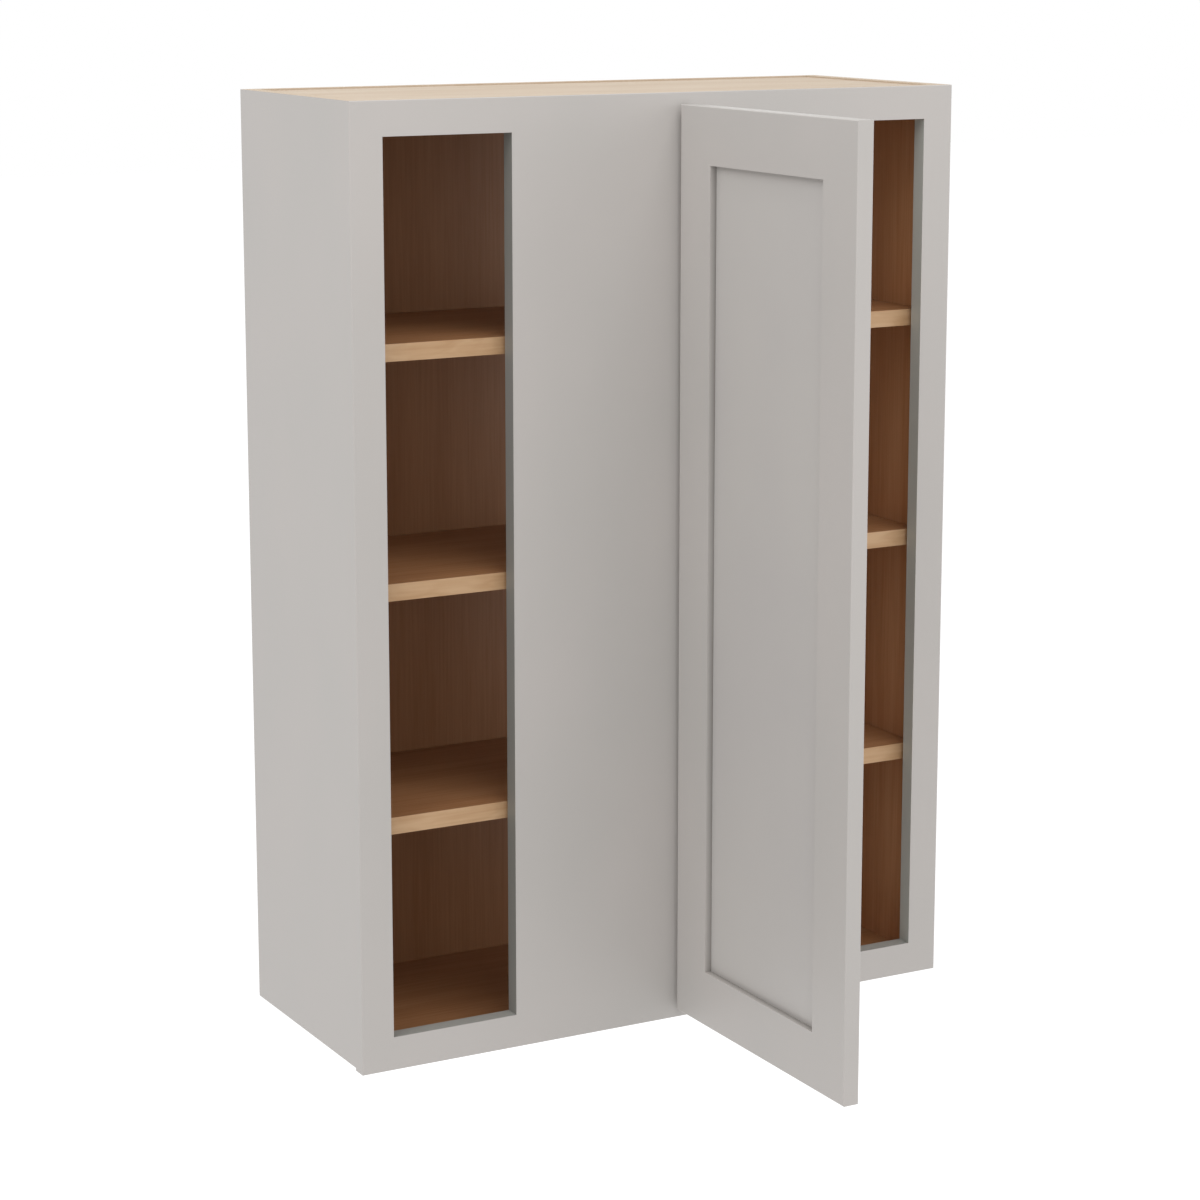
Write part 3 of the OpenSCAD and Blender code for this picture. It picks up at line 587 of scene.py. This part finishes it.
def screws(tree, node, body, axis, turn, head_h, shoulder, neck, shank_d, pitch):
    """Threaded screws in place of a CAD node's, their heads up an axis; the last five in mm."""
    boxes = solids(node)
    low, high = boxes[0]
    seats = []
    for box in boxes:
        seat = (box[0] + box[1]) / 2
        seat[axis] = box[1][axis] - head_h * MM
        seats.append(seat)
    across = (axis + 1) % 3
    head_r = (high[across] - low[across]) / 2
    length = high[axis] - low[axis] - head_h * MM
    tip = shank_d * MM
    piece = grown("threaded_" + node, seats, tree, {
        "Turn": turn,
        "Head Radius": head_r,
        "Head Top": head_h * MM,
        "Head Shoulder": shoulder * MM,
        "Head Neck": neck * MM,
        "Cross Reach": CROSS_REACH * head_r,
        "Cross Foot": CROSS_FOOT * head_r,
        "Cross Depth": CROSS_DEPTH * head_r,
        "Shank Radius": shank_d / 2 * MM,
        "Core Radius": CORE_SHARE * shank_d / 2 * MM,
        "Length": length,
        "Tip": tip,
        "Thread Length": THREAD_SHARE * (length - tip),
        "Pitch": pitch * MM,
    })
    stand_in(piece, node, body)


def bumpers(tree):
    """Domed bumpers in place of the CAD node's, on the door's back, which faces right."""
    boxes = solids("door_bumpers")
    low, high = boxes[0]
    height = high.x - low.x
    seats = [Vector((start.x, (start.y + end.y) / 2, (start.z + end.z) / 2))
             for start, end in boxes]
    piece = grown("domed_door_bumpers", seats, tree, {
        "Turn": FACE_RIGHT,
        "Radius": (high.y - low.y) / 2,
        "Height": height,
        "Rim": RIM_SHARE * height,
    })
    stand_in(piece, "door_bumpers", "door")


cross_recess_screw = screw_tree()
screws(cross_recess_screw, "hinge_cup_screws", "door", X, FACE_RIGHT, **HINGE_SCREW)
screws(cross_recess_screw, "hinge_arm_screws", "cabinet", X, FACE_RIGHT, **HINGE_SCREW)
screws(cross_recess_screw, "back_screws", "cabinet", Y, FACE_WALL, **BACK_SCREW)
bumpers(bumper_tree())


# Camera: the photograph's view, a little above the cabinet and to its left
VIEW_PLACE = (-1.72341, -3.28427, 0.69869)
VIEW_YAW = 28.755
VIEW_PITCH = 10.721
VIEW_LENS = 93.55
VIEW_SENSOR = 36
VIEW_SHIFT = -0.06

camera = bpy.data.objects.new("camera", bpy.data.cameras.new("camera"))
camera.data.lens = VIEW_LENS
camera.data.sensor_width = VIEW_SENSOR
camera.data.shift_y = VIEW_SHIFT
camera.location = VIEW_PLACE
camera.rotation_euler = (math.radians(90 - VIEW_PITCH), 0, math.radians(-VIEW_YAW))
bpy.context.scene.collection.objects.link(camera)
bpy.context.scene.camera = camera

# The cabinet hangs on a wall, its lower edge this far above the floor
HANG_HEIGHT = 1.37
FLOOR_REACH = 30.0
FLOOR_TONE = "#E8E8E8"
WHITE = "#FFFFFF"

# Backdrop rays see the floor with a glow of its own and the surround at full white. All other
# rays see the plain floor and a weaker surround.
FLOOR_GLOW = 0.5
SURROUND_WHITE = 1.0
SURROUND_LIGHT = 0.69

# Lamps: each has a name, its place and its watts; all are squares of one size, aimed at one point
LAMPS = (
    ("lamp_front_high", (0.0, -2.5, 3.4), 50),
    ("lamp_left_high", (-2.9, -0.9, 2.9), 42),
    ("lamp_front_left", (-2.4, -3.4, 0.8), 5),
    ("lamp_front_right", (2.4, -3.4, 0.8), 14),
    ("lamp_rear", (1.2, 3.4, 0.5), 14),
)
LAMP_SIZE = 2.4
LAMP_AIM = (0, -0.2, 0)


def backdrop_rays(tree):
    """1 for the rays that show the backdrop: straight to the camera, mirrored or through glass."""
    rays = add(tree, "ShaderNodeLightPath")
    bent = add(tree, "ShaderNodeMath", {0: rays["Is Glossy Ray"], 1: rays["Is Transmission Ray"]},
               operation="MAXIMUM")[0]
    return add(tree, "ShaderNodeMath", {0: rays["Is Camera Ray"], 1: bent}, operation="MAXIMUM")[0]


def studio_floor():
    """A pale floor under the cabinet, white to the camera where no shadow falls."""
    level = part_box("frame_stile_left")[0].z - HANG_HEIGHT
    corners = [(x * FLOOR_REACH, y * FLOOR_REACH, level)
               for x, y in ((-1, -1), (1, -1), (1, 1), (-1, 1))]
    mesh = bpy.data.meshes.new("floor")
    mesh.from_pydata(corners, [], [(0, 1, 2, 3)])
    floor = bpy.data.objects.new("floor", mesh)
    bpy.context.scene.collection.objects.link(floor)
    material = bpy.data.materials.new("studio_floor")
    material.use_nodes = True
    tree = material.node_tree
    tree.nodes.clear()
    matt = add(tree, "ShaderNodeBsdfDiffuse", {"Color": FLOOR_TONE})[0]
    glow = add(tree, "ShaderNodeEmission", {"Color": WHITE, "Strength": FLOOR_GLOW})[0]
    both = add(tree, "ShaderNodeAddShader", {0: matt, 1: glow})[0]
    shown = add(tree, "ShaderNodeMixShader", {0: backdrop_rays(tree), 1: matt, 2: both})[0]
    add(tree, "ShaderNodeOutputMaterial", {"Surface": shown})
    mesh.materials.append(material)


def studio_world():
    """Even soft light all round, and a white background."""
    world = bpy.data.worlds.new("studio")
    world.use_nodes = True
    tree = world.node_tree
    tree.nodes.clear()
    strength = add(tree, "ShaderNodeMapRange",
                   {0: backdrop_rays(tree), 3: SURROUND_LIGHT, 4: SURROUND_WHITE})[0]
    light = add(tree, "ShaderNodeBackground", {"Color": WHITE, "Strength": strength})[0]
    add(tree, "ShaderNodeOutputWorld", {"Surface": light})
    bpy.context.scene.world = world


def soft_lamp(name, place, watts):
    """A square lamp at a place, turned to the middle of the cabinet."""
    lamp = bpy.data.objects.new(name, bpy.data.lights.new(name, "AREA"))
    lamp.data.shape = "SQUARE"
    lamp.data.size = LAMP_SIZE
    lamp.data.energy = watts
    lamp.location = place
    aim = Vector(LAMP_AIM) - Vector(place)
    lamp.rotation_euler = aim.to_track_quat("-Z", "Y").to_euler()
    bpy.context.scene.collection.objects.link(lamp)


studio_floor()
studio_world()
for name, place, watts in LAMPS:
    soft_lamp(name, place, watts)

bpy.context.scene.view_settings.view_transform = "Standard"
